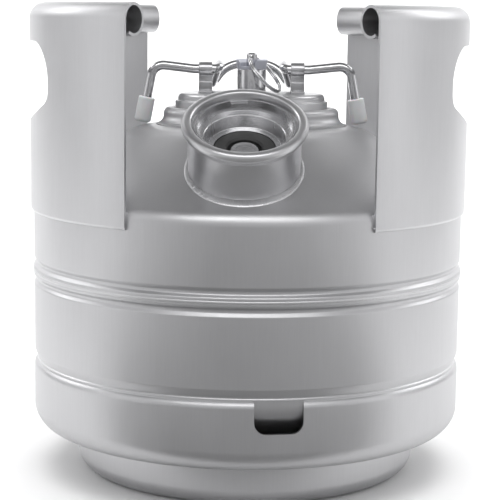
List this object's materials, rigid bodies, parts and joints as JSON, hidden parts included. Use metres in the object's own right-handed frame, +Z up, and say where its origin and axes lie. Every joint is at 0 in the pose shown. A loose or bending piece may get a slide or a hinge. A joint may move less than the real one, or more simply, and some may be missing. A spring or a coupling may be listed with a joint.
{
  "type": "beer keg",
  "caption": "Small upright stainless keg with stacking handles, a stepped foot, a tilted coupler neck with spear, and an oval sealed hatch held by a wire bail",
  "frame": {"origin": "on the keg's axis, in the plane the foot ring rests on", "axes": "+Z up along the keg's axis, the coupler neck leans towards -Y (front), handles at +X and -X"},
  "size_m": [0.2382, 0.2398, 0.254],
  "materials": {
    "vessel_steel": "bead-blasted stainless sheet with a fine vertical grain",
    "handle_steel": "bead-blasted stainless sheet",
    "weld_metal": "rippled weld bead, cleaned",
    "neck_steel": "machined and polished stainless",
    "spear_steel": "bright pressed stainless",
    "spring_steel": "drawn spring wire",
    "black_rubber": "moulded black rubber",
    "lid_steel": "pressed stainless, lightly polished",
    "polished_wire": "bent stainless wire, polished",
    "white_cap": "translucent white soft plastic",
    "relief_steel": "turned stainless",
    "relief_cap": "blue-grey moulded cap"
  },
  "bodies": {
    "keg": {"upper_shell": "vessel_steel", "lower_shell": "vessel_steel", "girth_weld": "weld_metal", "base_skirt": "vessel_steel", "skirt_weld": "weld_metal", "left_handle": "handle_steel", "right_handle": "handle_steel", "left_handle_weld": "weld_metal", "right_handle_weld": "weld_metal", "coupler_neck": "neck_steel", "neck_weld": "weld_metal", "spear_housing": "spear_steel", "snap_ring": "spear_steel", "neck_gasket": "black_rubber", "gas_spring": "spring_steel", "hatch_collar": "vessel_steel"},
    "gas_valve": {"valve_seal": "black_rubber", "valve_cup": "spear_steel", "spear_tube": "spear_steel", "product_spring": "spring_steel"},
    "plunger": {"valve_plunger": "spear_steel"},
    "lid": {"lid": "lid_steel", "lid_seal": "black_rubber", "left_bracket": "lid_steel", "right_bracket": "lid_steel", "relief_body": "relief_steel", "relief_nut": "relief_steel", "relief_cap": "relief_cap", "relief_spring": "spring_steel"},
    "bail": {"bail": "polished_wire", "left_foot_cap": "white_cap", "right_foot_cap": "white_cap"},
    "relief_stem": {"relief_stem": "relief_steel", "relief_seal": "black_rubber"},
    "pull_ring": {"pull_ring": "polished_wire"}
  },
  "joints": [
    {"name": "gas_valve_open", "type": "slide", "parent": "keg", "child": "gas_valve", "axis": [0, 0.4848, -0.8746], "range_m": [0, 0.005], "stiffness_N_per_m": 3000, "springref_m": -0.008, "deforming": ["gas_spring"]},
    {"name": "plunger_open", "type": "slide", "parent": "gas_valve", "child": "plunger", "axis": [0, 0.4848, -0.8746], "range_m": [0, 0.004], "stiffness_N_per_m": 1500, "springref_m": -0.005, "deforming": ["product_spring"]},
    {"name": "lid_drop", "type": "slide", "parent": "keg", "child": "lid", "axis": [0, 0, -1], "range_m": [0, 0.005]},
    {"name": "bail_open", "type": "hinge", "parent": "lid", "child": "bail", "pos_m": [0.0014, 0.011, 0.2187], "axis": [1, 0, 0], "range_deg": [0, 100]},
    {"name": "relief_pull", "type": "slide", "parent": "lid", "child": "relief_stem", "axis": [0, 0, 1], "range_m": [0, 0.003], "stiffness_N_per_m": 4000, "springref_m": -0.004, "deforming": ["relief_spring"]},
    {"name": "ring_swing", "type": "hinge", "parent": "relief_stem", "child": "pull_ring", "pos_m": [0.0014, 0.011, 0.2254], "axis": [0.342, 0.9397, 0], "range_deg": [-13, 0]}
  ],
  "couplings": [
    {"joint": "bail_open", "follows": "lid_drop", "rad_per_m": 349}
  ]
}
